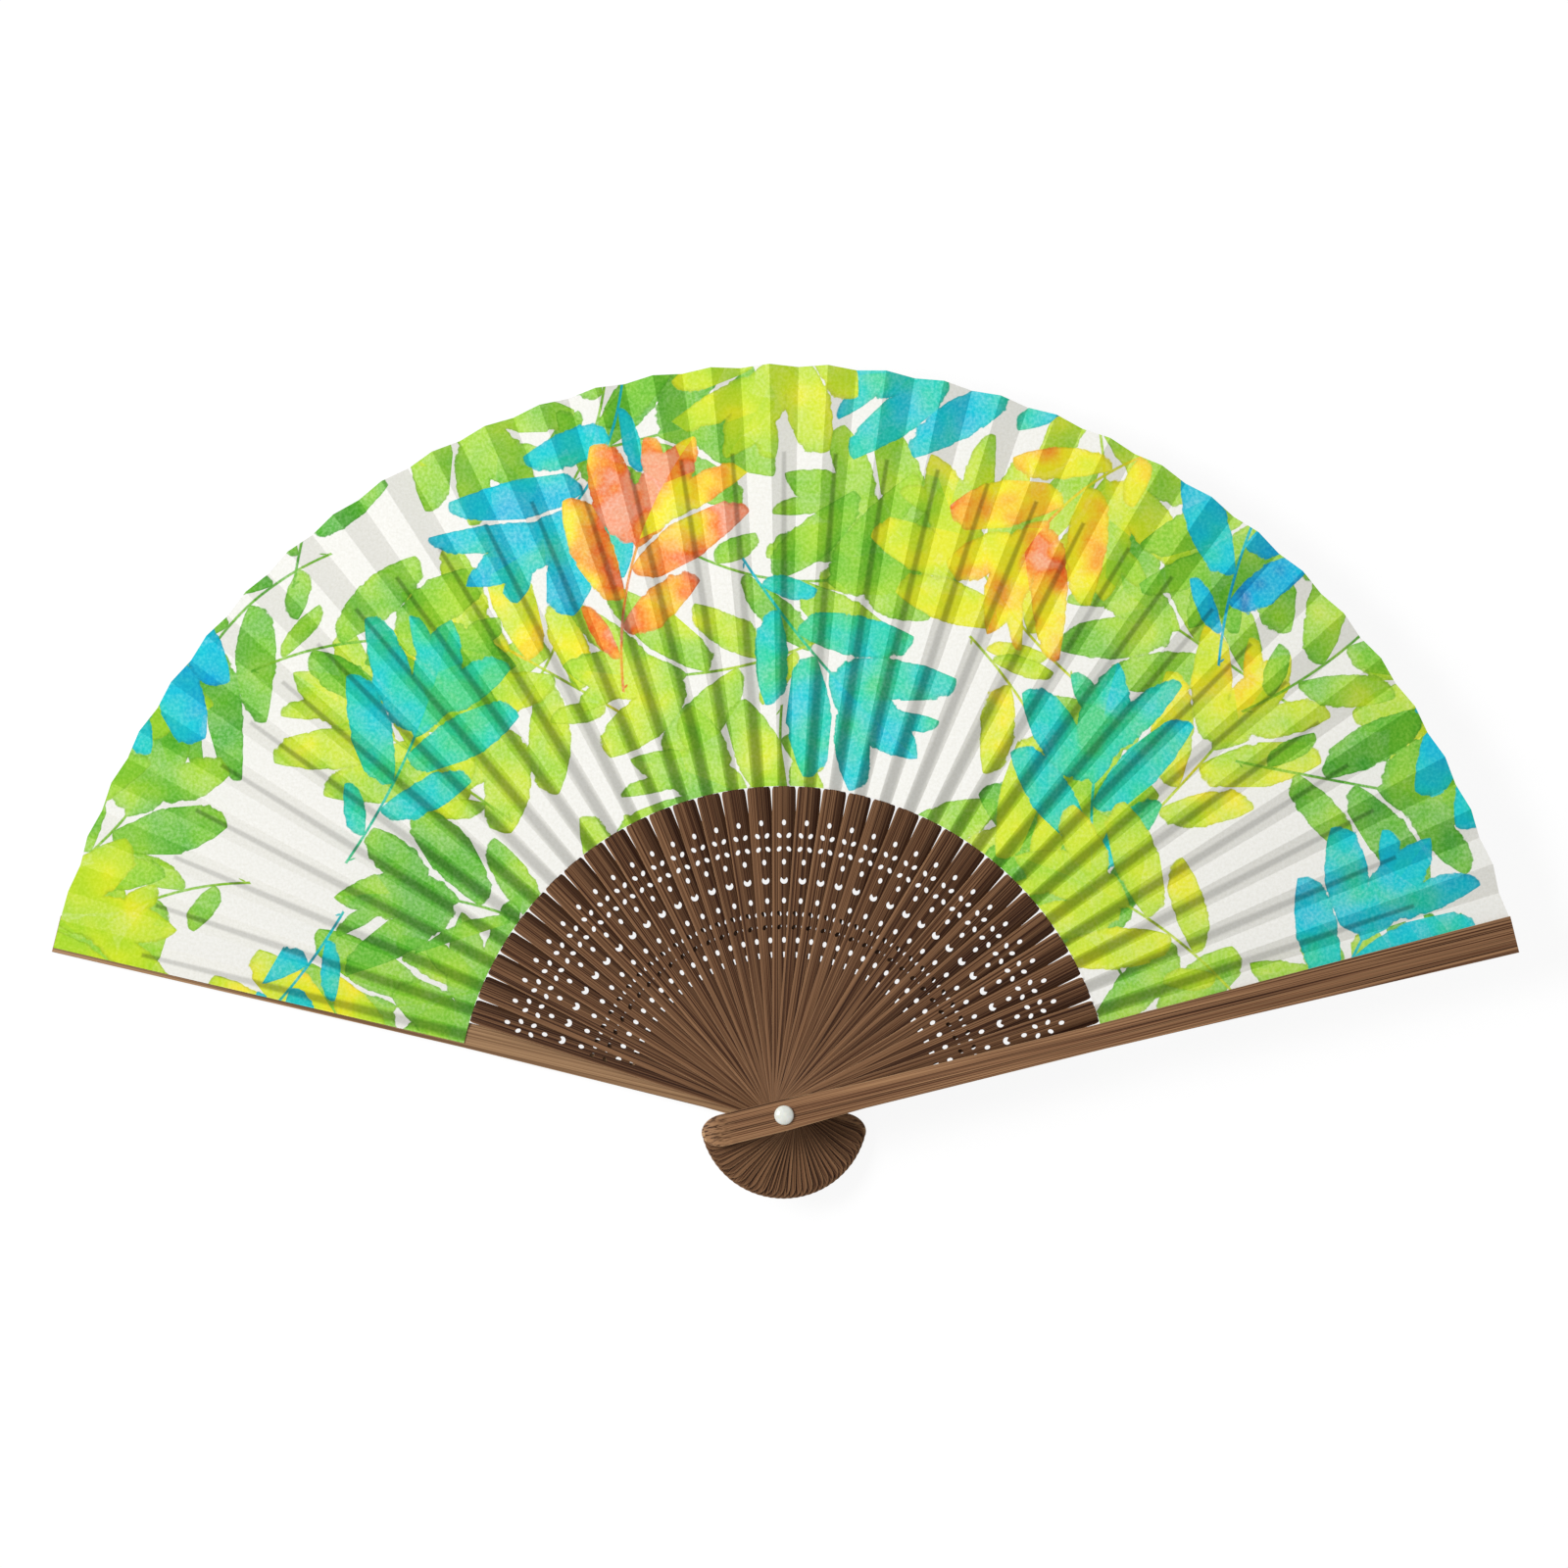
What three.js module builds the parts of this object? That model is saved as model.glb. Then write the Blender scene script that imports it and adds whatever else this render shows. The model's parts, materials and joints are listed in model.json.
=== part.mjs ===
// A folding fan of the short-leaf kind, lying open with its printed side up.
// Thin ribs and two guards turn on one rivet. Each rib is a perforated blade that twists from flat at the rivet
// to the slope of its pleat, then runs on as a sliver between the two paper sheets of the pleated leaf.
// Frame: origin on the rivet's axis at its flat back face, +Z along the rivet towards the printed side,
// +Y towards the middle of the open leaf. Sizes are in millimetres.
// A stick's own frame: u along the stick from the rivet, y to its left (counter-clockwise), z up.
import * as THREE from "three";

const { clamp, degToRad, lerp } = THREE.MathUtils;
const RIVET_AXIS = new THREE.Vector3(0, 0, 1);
const LEFT = 1; // sides of a stick, by the sign of y
const RIGHT = -1;

// Count and opening, in degrees counter-clockwise from +X
const RIB_COUNT = 33;
const OPEN_ANGLE = 152.2;
const MIDDLE_ANGLE = 90;

// Lengths along a stick, from the rivet's axis
const TAIL_LENGTH = 21.2;
const BLADE_LENGTH = 82.4;
const TWIST_START = 10;
const SHOULDER_LENGTH = 0.9;

// The leaf: radii, what the slivers and guards leave of it, and its paper
const LEAF_OUTER_RADIUS = 188.6;
const RIM_STEP = 0.8; // the rim was cut aslant with the pleats closed, so the ribs' right creases are shorter
const SLIVER_SETBACK = 22.1;
const GUARD_OVERHANG = 0.1;
const LEAF_EDGE_MARGIN = 1.1;
const PLEAT_SLOPE = 13.5; // degrees across a rib's pleat, left side high
const PAPER_THICKNESS = 0.1;

// Ribs
const RIB_NECK_WIDTH = 5.9;
const RIB_BLADE_WIDTH = 5.95;
const RIB_THICKNESS = 0.4;
const SLIVER_ROOT_WIDTH = 2.7;
const SLIVER_TIP_WIDTH = 1;
const SLIVER_THICKNESS = 0.16;

// Guards
const GUARD_HEAD_WIDTH = 7.9; // from the tail to the rivet
const GUARD_WIDTH = 6.4; // from the waist to the leaf
const GUARD_TIP_WIDTH = 9.4;
const GUARD_WAIST = 20; // from the rivet's axis
const GUARD_TAIL_ROUND = 5.4; // length of the rounded end
const GUARD_TIP_THICKNESS = 1.2;
const GUARD_EDGE = 0.35;

// Rivet
const PIN_RADIUS = 1.2;
const HEAD_RADIUS = 2.45;
const DOME_LIP = 0.35;
const DOME_RISE = 1.05;
const BACK_HEAD_HEIGHT = 0.9;
const BACK_HEAD_EDGE = 0.3;

// Perforation of a blade, from its top inwards: a flower, a crescent, a second flower and a dot
const FLOWER_SETBACK = 14; // from the blade's top to the outer flower's middle
const FLOWER_TO_CRESCENT = 9.5;
const CRESCENT_TO_FLOWER = 10.1;
const FLOWER_TO_DOT = 8.6;
const PETAL_REACH = 4.95; // from a flower's middle to its two end petals
const PAIR_REACH = 1.7; // and to its pairs, along the blade
const PAIR_SPREAD = 1.2; // and across it
const PETAL_LENGTH = 1.42;
const PETAL_WIDTH = 1;
const CRESCENT_RADIUS = 0.95;
const CRESCENT_WAIST = 1; // left between the bite and the far rim
const CRESCENT_MOUTH = 76; // degrees of rim that the bite takes away
const PETAL_SIDES = 4;
const CRESCENT_STEPS = 4;
const HOLE_MARGIN = 1.2; // plain blade kept before the dot

// Clearances
const LAYER_CLEARANCE = 0.1;
const PIN_CLEARANCE = 0.08;
const RIVET_END_PLAY = 0.1;
const LEAF_GAP = 0.1;
const SLIVER_CLEARANCE = 0.04;
const PASTE_GAP = 0.05;

// Facets
const PIN_HOLE_SIDES = 6;
const RIVET_SEGMENTS = 16;
const DOME_STEPS = 4;
const TAIL_STEPS = [25, 55, 90]; // degrees round a rib's tail, from its end
const GUARD_CURVE_STEPS = 4;

// Angles and heights that follow
const FRONT_GUARD = RIB_COUNT + 1;
const STICK_PITCH = OPEN_ANGLE / FRONT_GUARD;
const HALF_PANEL = degToRad(STICK_PITCH / 4);
const SLOPE = Math.tan(degToRad(PLEAT_SLOPE));
const LAYER_PITCH = RIB_THICKNESS + LAYER_CLEARANCE;
const LEAF_INNER_RADIUS = BLADE_LENGTH + LEAF_GAP;
const GUARD_LENGTH = LEAF_OUTER_RADIUS + GUARD_OVERHANG;
const SLIVER_LENGTH = LEAF_OUTER_RADIUS - SLIVER_SETBACK;
const SHEET_LOW = SLIVER_THICKNESS / 2 + SLIVER_CLEARANCE;
const SHEET_HIGH = SHEET_LOW + PAPER_THICKNESS;

// A guard's inner face falls away from the ribs just enough for the low edge of a twisted blade.
const BLADE_DIP = (RIB_BLADE_WIDTH / 2) * SLOPE;
const GUARD_FALL = (BLADE_DIP + LAYER_CLEARANCE) / (BLADE_LENGTH + TAIL_LENGTH);
const GUARD_TAIL_THICKNESS = GUARD_TIP_THICKNESS + GUARD_FALL * (GUARD_LENGTH + TAIL_LENGTH);
const BACK_GUARD_BOTTOM = BACK_HEAD_HEIGHT + RIVET_END_PLAY;
const FIRST_RIB_HEIGHT = BACK_GUARD_BOTTOM + GUARD_TAIL_THICKNESS + LAYER_CLEARANCE + RIB_THICKNESS / 2;
const LAST_RIB_HEIGHT = FIRST_RIB_HEIGHT + (RIB_COUNT - 1) * LAYER_PITCH;
const FRONT_GUARD_TOP = LAST_RIB_HEIGHT + RIB_THICKNESS / 2 + LAYER_CLEARANCE + GUARD_TAIL_THICKNESS;

const stickAngle = (stick) => degToRad(MIDDLE_ANGLE + OPEN_ANGLE / 2 - stick * STICK_PITCH);
const ribHeight = (stick) => FIRST_RIB_HEIGHT + (stick - 1) * LAYER_PITCH;
const guardThickness = (u) => GUARD_TAIL_THICKNESS - GUARD_FALL * (u + TAIL_LENGTH);

// Triangles gathered one by one, for the forms that no ready-made geometry has.
class Facets {
  corners = [];

  triangle(a, b, c) {
    this.corners.push(a, b, c);
  }

  quad(a, b, c, d) {
    this.triangle(a, b, c);
    this.triangle(a, c, d);
  }

  geometry() {
    const geometry = new THREE.BufferGeometry().setFromPoints(this.corners);
    geometry.computeVertexNormals();
    return geometry;
  }
}

// Perforation

// An ellipse as a polygon of the same area, clockwise, with its long axis along a direction.
function petal(u, y, direction) {
  const grow = Math.sqrt((2 * Math.PI) / (PETAL_SIDES * Math.sin((2 * Math.PI) / PETAL_SIDES)));
  const long = (grow * PETAL_LENGTH) / 2;
  const short = (grow * PETAL_WIDTH) / 2;
  const curve = new THREE.EllipseCurve(u, y, long, short, 0, 2 * Math.PI, true, direction);
  return curve.getPoints(PETAL_SIDES).slice(0, PETAL_SIDES);
}

function flower(middle) {
  const ends = [PETAL_REACH, -PETAL_REACH].map((du) => [du, 0]);
  const pairs = [PAIR_REACH, -PAIR_REACH].flatMap((du) => [PAIR_SPREAD, -PAIR_SPREAD].map((y) => [du, y]));
  return [...ends, ...pairs].map(([du, y]) => petal(middle + du, y, Math.atan2(y, du)));
}

// A round hole with a bite left standing on its outer side, clockwise.
function crescent(middle) {
  const mouth = degToRad(CRESCENT_MOUTH / 2);
  const rim = new THREE.EllipseCurve(
    middle, 0, CRESCENT_RADIUS, CRESCENT_RADIUS, -mouth, mouth, true,
  );
  const bite = new THREE.Vector2(middle - CRESCENT_RADIUS + CRESCENT_WAIST, 0);
  return [...rim.getPoints(CRESCENT_STEPS), bite];
}

// The hole for the rivet's pin: its flats, not its corners, clear the pin.
function pinHole() {
  const radius = (PIN_RADIUS + PIN_CLEARANCE) / Math.cos(Math.PI / PIN_HOLE_SIDES);
  const curve = new THREE.EllipseCurve(0, 0, radius, radius, 0, 2 * Math.PI, true);
  return curve.getPoints(PIN_HOLE_SIDES).slice(0, PIN_HOLE_SIDES);
}

// Ribs

const twistAt = (u) => SLOPE * clamp((u - TWIST_START) / (BLADE_LENGTH - TWIST_START), 0, 1);

// The lengths of blade between two stations, each with the holes that lie in it.
function ribLengths() {
  const outerFlower = BLADE_LENGTH - FLOWER_SETBACK;
  const moon = outerFlower - FLOWER_TO_CRESCENT;
  const innerFlower = moon - CRESCENT_TO_FLOWER;
  const dot = innerFlower - FLOWER_TO_DOT;
  const patternStart = dot - PETAL_LENGTH / 2 - HOLE_MARGIN;
  const beforeMoon = (innerFlower + PETAL_REACH + PETAL_LENGTH / 2 + moon - CRESCENT_RADIUS) / 2;
  const afterMoon = (moon + CRESCENT_RADIUS + outerFlower - PETAL_REACH - PETAL_LENGTH / 2) / 2;
  const shoulder = BLADE_LENGTH - SHOULDER_LENGTH;

  const neck = RIB_NECK_WIDTH / 2;
  const halfWidth = (u) =>
    lerp(neck, RIB_BLADE_WIDTH / 2, clamp((u - TWIST_START) / (shoulder - TWIST_START), 0, 1));
  const blade = (u, holes = []) => ({ u, half: halfWidth(u), thickness: RIB_THICKNESS, holes });
  const tail = TAIL_STEPS.map(degToRad).map((turn) => ({
    ...blade(neck * (1 - Math.cos(turn)) - TAIL_LENGTH),
    half: neck * Math.sin(turn),
  }));
  tail.at(-1).holes = [pinHole()];
  return [
    ...tail,
    blade(TWIST_START),
    blade((TWIST_START + patternStart) / 2),
    blade(patternStart, [petal(dot, 0, 0), ...flower(innerFlower)]),
    blade(beforeMoon, [crescent(moon)]),
    blade(afterMoon, flower(outerFlower)),
    blade(shoulder),
    { u: BLADE_LENGTH, half: SLIVER_ROOT_WIDTH / 2, thickness: SLIVER_THICKNESS, holes: [] },
    { u: SLIVER_LENGTH, half: SLIVER_TIP_WIDTH / 2, thickness: SLIVER_THICKNESS, holes: [] },
  ];
}

// A rib lies level at its own middle height. Its faces follow the twist, so stacked ribs nest without touching.
function ribGeometry() {
  const facets = new Facets();
  const face = (u, y, thickness, side) => new THREE.Vector3(u, y, y * twistAt(u) + (side * thickness) / 2);
  const lengths = ribLengths();
  const section = ({ u, half, thickness }) => [
    face(u, -half, thickness, -1),
    face(u, half, thickness, -1),
    face(u, half, thickness, 1),
    face(u, -half, thickness, 1),
  ];
  for (let i = 0; i + 1 < lengths.length; i++) {
    const [near, far] = [lengths[i], lengths[i + 1]];
    const thicknessAt = (u) => lerp(near.thickness, far.thickness, (u - near.u) / (far.u - near.u));
    const outline = [
      new THREE.Vector2(near.u, -near.half),
      new THREE.Vector2(far.u, -far.half),
      new THREE.Vector2(far.u, far.half),
      new THREE.Vector2(near.u, near.half),
    ];
    const points = [...outline, ...near.holes.flat()];
    const onFace = (p, side) => face(p.x, p.y, thicknessAt(p.x), side);
    for (const triangle of THREE.ShapeUtils.triangulateShape(outline, near.holes)) {
      const corners = triangle.map((n) => points[n]);
      if (THREE.ShapeUtils.area(corners) < 0) corners.reverse();
      const [a, b, c] = corners;
      facets.triangle(onFace(a, 1), onFace(b, 1), onFace(c, 1));
      facets.triangle(onFace(c, -1), onFace(b, -1), onFace(a, -1));
    }
    const wall = (a, b) => facets.quad(onFace(a, -1), onFace(b, -1), onFace(b, 1), onFace(a, 1));
    wall(outline[0], outline[1]);
    wall(outline[2], outline[3]);
    for (const hole of near.holes) hole.forEach((point, n) => wall(point, hole[(n + 1) % hole.length]));
  }
  const [tailEnd, tip] = [section(lengths[0]), section(lengths.at(-1))];
  facets.quad(tailEnd[0], tailEnd[3], tailEnd[2], tailEnd[1]);
  facets.quad(tip[0], tip[1], tip[2], tip[3]);
  return facets.geometry();
}

// Guards

const guardHalfWidth = (u) => {
  const along = clamp((u - LEAF_INNER_RADIUS) / (GUARD_LENGTH - LEAF_INNER_RADIUS), 0, 1);
  return lerp(GUARD_WIDTH, GUARD_TIP_WIDTH, along) / 2;
};

// A guard with its outer face down at z = 0 and its inner face falling away towards the tip.
function guardGeometry() {
  const half = GUARD_WIDTH / 2;
  const head = GUARD_HEAD_WIDTH / 2;
  const tailMiddle = GUARD_TAIL_ROUND - TAIL_LENGTH;
  const shape = new THREE.Shape()
    .moveTo(GUARD_LENGTH, -GUARD_TIP_WIDTH / 2)
    .lineTo(GUARD_LENGTH, GUARD_TIP_WIDTH / 2)
    .lineTo(LEAF_INNER_RADIUS, half)
    .lineTo(GUARD_WAIST, half)
    .lineTo(0, head)
    .lineTo(tailMiddle, head)
    .absellipse(tailMiddle, 0, GUARD_TAIL_ROUND, head, Math.PI / 2, (3 * Math.PI) / 2, false)
    .lineTo(0, -head)
    .lineTo(GUARD_WAIST, -half)
    .lineTo(LEAF_INNER_RADIUS, -half);
  shape.holes.push(new THREE.Path(pinHole()));
  const edge = Math.min(GUARD_EDGE, GUARD_TIP_THICKNESS / 3);
  const geometry = new THREE.ExtrudeGeometry(shape, {
    depth: GUARD_TAIL_THICKNESS - 2 * edge,
    curveSegments: GUARD_CURVE_STEPS,
    bevelThickness: edge,
    bevelSize: edge,
    bevelOffset: -edge,
    bevelSegments: 1,
  });
  geometry.translate(0, 0, edge);
  const position = geometry.getAttribute("position");
  for (let i = 0; i < position.count; i++) {
    const z = position.getZ(i);
    const inner = z > GUARD_TAIL_THICKNESS / 2;
    position.setZ(i, inner ? z - GUARD_TAIL_THICKNESS + guardThickness(position.getX(i)) : z);
  }
  geometry.computeVertexNormals();
  return geometry;
}

// Rivet

function rivetGeometry() {
  const neck = FRONT_GUARD_TOP + RIVET_END_PLAY;
  const dome = new THREE.EllipseCurve(0, neck + DOME_LIP, HEAD_RADIUS, DOME_RISE, 0, Math.PI / 2);
  const profile = [
    new THREE.Vector2(0, 0),
    new THREE.Vector2(HEAD_RADIUS - BACK_HEAD_EDGE, 0),
    new THREE.Vector2(HEAD_RADIUS, BACK_HEAD_EDGE),
    new THREE.Vector2(HEAD_RADIUS, BACK_HEAD_HEIGHT),
    new THREE.Vector2(PIN_RADIUS, BACK_HEAD_HEIGHT),
    new THREE.Vector2(PIN_RADIUS, neck),
    new THREE.Vector2(HEAD_RADIUS, neck),
    ...dome.getPoints(DOME_STEPS).slice(0, DOME_STEPS),
    new THREE.Vector2(0, neck + DOME_LIP + DOME_RISE),
  ];
  return new THREE.LatheGeometry(profile, RIVET_SEGMENTS).rotateX(Math.PI / 2);
}

// Leaf

// The leaf's creases and its two straight edges, from the back guard round to the front guard, each as its ends
// on the inner and outer radius of the surface midway between the two sheets.
function leafCreases() {
  const seat = PASTE_GAP + SHEET_HIGH;
  const onBackGuard = (u) => BACK_GUARD_BOTTOM + guardThickness(u) + seat;
  const onFrontGuard = (u) => FRONT_GUARD_TOP - guardThickness(u) - seat;
  const fold = (radius) => radius * Math.sin(HALF_PANEL);
  const edge = (radius) => guardHalfWidth(radius) - LEAF_EDGE_MARGIN;
  const rim = (stick, side) => LEAF_OUTER_RADIUS - (stick > 0 && side === RIGHT ? RIM_STEP : 0);
  const crease = (stick, side, offset, height) =>
    [LEAF_INNER_RADIUS, rim(stick, side)].map((radius) => {
      const y = side * offset(radius);
      const u = Math.sqrt(radius ** 2 - y ** 2);
      return new THREE.Vector3(u, y, height(u, y)).applyAxisAngle(RIVET_AXIS, stickAngle(stick));
    });
  const creases = [crease(0, LEFT, edge, onBackGuard), crease(0, RIGHT, fold, onBackGuard)];
  for (let stick = 1; stick <= RIB_COUNT; stick++) {
    const onRib = (u, y) => ribHeight(stick) + y * SLOPE;
    creases.push(crease(stick, LEFT, fold, onRib), crease(stick, RIGHT, fold, onRib));
  }
  creases.push(crease(FRONT_GUARD, LEFT, fold, onFrontGuard), crease(FRONT_GUARD, RIGHT, edge, onFrontGuard));
  return creases;
}

// One paper sheet, between two heights over the middle surface.
function sheetGeometry(low, high) {
  const facets = new Facets();
  const raised = (point, height) => new THREE.Vector3(point.x, point.y, point.z + height);
  const sections = leafCreases().map(([inner, outer]) => [
    raised(inner, low),
    raised(outer, low),
    raised(outer, high),
    raised(inner, high),
  ]);
  for (let i = 0; i + 1 < sections.length; i++) {
    const [a, b] = [sections[i], sections[i + 1]];
    facets.quad(a[0], a[1], b[1], b[0]);
    facets.quad(a[1], a[2], b[2], b[1]);
    facets.quad(a[3], b[3], b[2], a[2]);
    facets.quad(a[3], a[0], b[0], b[3]);
  }
  const [first, last] = [sections[0], sections.at(-1)];
  facets.quad(first[3], first[2], first[1], first[0]);
  facets.quad(last[0], last[1], last[2], last[3]);
  return facets.geometry();
}

// Assembly

const stainedBamboo = () => new THREE.MeshStandardMaterial({ color: 0x543a28, roughness: 0.55, metalness: 0 });
const guardBamboo = () => new THREE.MeshStandardMaterial({ color: 0x86664a, roughness: 0.5, metalness: 0 });
const paper = () => new THREE.MeshStandardMaterial({ color: 0xf1f1ed, roughness: 0.9, metalness: 0 });
const whitePlastic = () => new THREE.MeshStandardMaterial({ color: 0xefeee4, roughness: 0.25, metalness: 0 });

const fan = new THREE.Group();

function add(name, geometry, material, parent = fan) {
  const mesh = new THREE.Mesh(geometry, material);
  mesh.name = name;
  parent.add(mesh);
  return mesh;
}

// A group that turns what it holds to a stick's place in the open fan.
function stickFrame(stick) {
  const frame = new THREE.Group();
  frame.rotation.z = stickAngle(stick);
  fan.add(frame);
  return frame;
}

add("guard_back", guardGeometry(), guardBamboo(), stickFrame(0)).position.z = BACK_GUARD_BOTTOM;

const rib = ribGeometry();
for (let stick = 1; stick <= RIB_COUNT; stick++) {
  const name = "rib_" + String(stick).padStart(2, "0");
  add(name, rib, stainedBamboo(), stickFrame(stick)).position.z = ribHeight(stick);
}

const frontGuard = add("guard_front", guardGeometry(), guardBamboo(), stickFrame(FRONT_GUARD));
frontGuard.rotation.x = Math.PI;
frontGuard.position.z = FRONT_GUARD_TOP;

add("leaf_back", sheetGeometry(-SHEET_HIGH, -SHEET_LOW), paper());
add("leaf_front", sheetGeometry(SHEET_LOW, SHEET_HIGH), paper());
add("rivet", rivetGeometry(), whitePlastic());

export default fan;
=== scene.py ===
# %% [markdown]
# # A folding fan
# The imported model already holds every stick, both paper sheets and the rivet, at their real size and in
# their real place. This lesson keeps those places and gives each piece the shape and finish that the eye
# looks for: round punched holes and softened edges on the bamboo, fibre along every stick, a printed
# paper leaf that folds at its creases, and a polished rivet head. All lengths are metres in the model's
# own frame. The rivet stands on the origin, +Z points to the printed side, and +Y to the middle of the
# open leaf.

import json
import math

import bmesh
import bpy
from mathutils import Matrix, Vector

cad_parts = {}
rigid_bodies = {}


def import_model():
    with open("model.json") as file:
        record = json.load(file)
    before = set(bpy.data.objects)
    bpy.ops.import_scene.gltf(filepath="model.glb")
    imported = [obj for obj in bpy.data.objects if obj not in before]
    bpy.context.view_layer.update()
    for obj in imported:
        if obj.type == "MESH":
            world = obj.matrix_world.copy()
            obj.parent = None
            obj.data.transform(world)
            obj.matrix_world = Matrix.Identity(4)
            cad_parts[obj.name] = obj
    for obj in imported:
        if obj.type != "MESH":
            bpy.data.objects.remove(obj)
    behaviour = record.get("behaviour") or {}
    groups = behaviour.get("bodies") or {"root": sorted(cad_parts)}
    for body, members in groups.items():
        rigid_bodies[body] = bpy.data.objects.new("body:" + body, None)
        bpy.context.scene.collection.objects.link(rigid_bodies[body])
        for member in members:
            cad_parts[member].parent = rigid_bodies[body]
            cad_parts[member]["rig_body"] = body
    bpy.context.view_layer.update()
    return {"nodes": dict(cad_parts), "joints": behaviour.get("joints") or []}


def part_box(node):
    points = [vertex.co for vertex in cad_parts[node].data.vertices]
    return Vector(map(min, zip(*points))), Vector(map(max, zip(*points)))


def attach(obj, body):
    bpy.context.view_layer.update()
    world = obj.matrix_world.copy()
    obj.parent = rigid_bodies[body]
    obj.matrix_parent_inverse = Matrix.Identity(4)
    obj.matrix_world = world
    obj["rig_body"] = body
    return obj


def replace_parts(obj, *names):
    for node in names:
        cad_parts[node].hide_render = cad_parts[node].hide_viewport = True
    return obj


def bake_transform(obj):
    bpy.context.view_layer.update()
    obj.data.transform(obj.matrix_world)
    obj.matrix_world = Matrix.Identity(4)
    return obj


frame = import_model()
MM = 0.001

# %% [markdown]
# ## Where the sticks are
# Thirty-five sticks turn on one rivet: a back guard, the ribs and a front guard. They open by equal
# steps, so one angle and one count give the place of each. Typing these again would let them drift from
# the model, so they are read from the frame: the opening from the fold's range, and each rib's height
# from the middle of its box. A stick's own frame has x along the stick from the rivet, y to its left, and
# z up.

# %% Angles and heights of the sticks
fold_joint = next(joint for joint in frame["joints"] if joint["name"] == "fan_fold")
rib_nodes = sorted(name for name in frame["nodes"] if name.startswith("rib_"))
FRONT_STICK = len(rib_nodes) + 1
OPEN_ANGLE = math.radians(fold_joint["range_deg"][1])
STICK_PITCH = OPEN_ANGLE / FRONT_STICK
stick_nodes = ["guard_back", *rib_nodes, "guard_front"]


def stick_angle(stick):
    return (math.pi + OPEN_ANGLE) / 2 - stick * STICK_PITCH


def stick_place(stick, height):
    return Matrix.Translation((0, 0, height)) @ Matrix.Rotation(stick_angle(stick), 4, "Z")


def stick_body(stick):
    return frame["nodes"][stick_nodes[stick]]["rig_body"]


def rib_height(stick):
    low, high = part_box(stick_nodes[stick])
    return (low.z + high.z) / 2


print("ribs:", len(rib_nodes), "degrees between sticks:", round(math.degrees(STICK_PITCH), 3))

# %% [markdown]
# ## Tools for materials
# Every finish here is a small network of nodes. Two helpers keep the networks short: one turns the hex
# colours that people read off a colour picker into the linear numbers that Blender mixes, and one adds
# any node, sets it up, wires its inputs and hands back the output to wire on. Inputs may be values or
# other nodes' outputs.

# %% Colour and node helpers
MATH = "ShaderNodeMath"
MIX = "ShaderNodeMix"
NOISE = "ShaderNodeTexNoise"
RAMP = "ShaderNodeValToRGB"
RANGE = "ShaderNodeMapRange"
SHADER = "ShaderNodeBsdfPrincipled"
SURFACE = "ShaderNodeOutputMaterial"
SMOOTH = "SMOOTHSTEP"
COLOURS = {"output": 2, "data_type": "RGBA"}  # a mix of colours: its output and its setting


def linear(hex_colour):
    shares = [int(hex_colour[i : i + 2], 16) / 255 for i in (1, 3, 5)]
    return (*[c / 12.92 if c <= 0.04045 else ((c + 0.055) / 1.055) ** 2.4 for c in shares], 1)


def add_node(tree, kind, inputs=(), output=0, stops=(), **settings):
    node = tree.nodes.new(kind)
    for name, value in settings.items():
        setattr(node, name, value)
    for key, value in inputs.items() if isinstance(inputs, dict) else enumerate(inputs):
        if isinstance(value, bpy.types.NodeSocket):
            tree.links.new(value, node.inputs[key])
        else:
            node.inputs[key].default_value = value
    for n, (position, colour) in enumerate(stops):
        if n > 1:
            node.color_ramp.elements.new(position)
        node.color_ramp.elements[n].position = position
        node.color_ramp.elements[n].color = linear(colour)
    return node.outputs[output] if node.outputs else None


def new_material(name):
    material = bpy.data.materials.new(name)
    material.use_nodes = True
    material.node_tree.nodes.clear()
    return material


print("dark bamboo in linear light:", [round(c, 3) for c in linear("#4a3121")[:3]])

# %% [markdown]
# ## Bamboo
# The sticks are split from bamboo culm, stained and wiped. Split bamboo shows its fibre bundles as fine
# lines that run the whole length of the stick, some pale and some dark, and the stain sits deeper between
# them. An image would do this, but a noise that is stretched along the stick does it at any size. It
# reads the piece's own "grain" map, in metres along and across the stick, so the lines follow each stick
# wherever it turns. Fine bundles are about a third of a millimetre wide, and broader bands come from how
# the stain was taken up. The thin straight lines between bundles, some dark and some pale, are the
# contour lines of two longer noises.

# %% Bamboo materials
NOISE_SPAN = (0.3, 0.7)  # most of a noise's values lie in it
NOISE_MIDDLE = 0.5
FIBRE = (70 * MM, 0.32 * MM)
BAND = (200 * MM, 2.2 * MM)
BAND_SHARE = 0.28
STAIN_STOPS = (0.34, 0.48, 0.66)
LINE_LENGTH = 900 * MM
DARK_LINE = (1, 0.075, 0.8)  # width as a share of the line width, spread of the contour, strength
PALE_LINE = (0.6, 0.09, 0.6)
GLOSS_STEPS = (0.1, -0.08)  # rougher between the bundles, smoother on them
FIBRE_RELIEF = 0.04 * MM
RELIEF_STRENGTH = 0.6


def stretched_noise(tree, length, width):
    grain = add_node(tree, "ShaderNodeUVMap", uv_map="grain")
    place = add_node(tree, "ShaderNodeMapping", {"Vector": grain, "Scale": (1 / length, 1 / width, 1)})
    return add_node(tree, NOISE, {"Vector": place, "Scale": 1, "Detail": 2}, noise_dimensions="2D")


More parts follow.
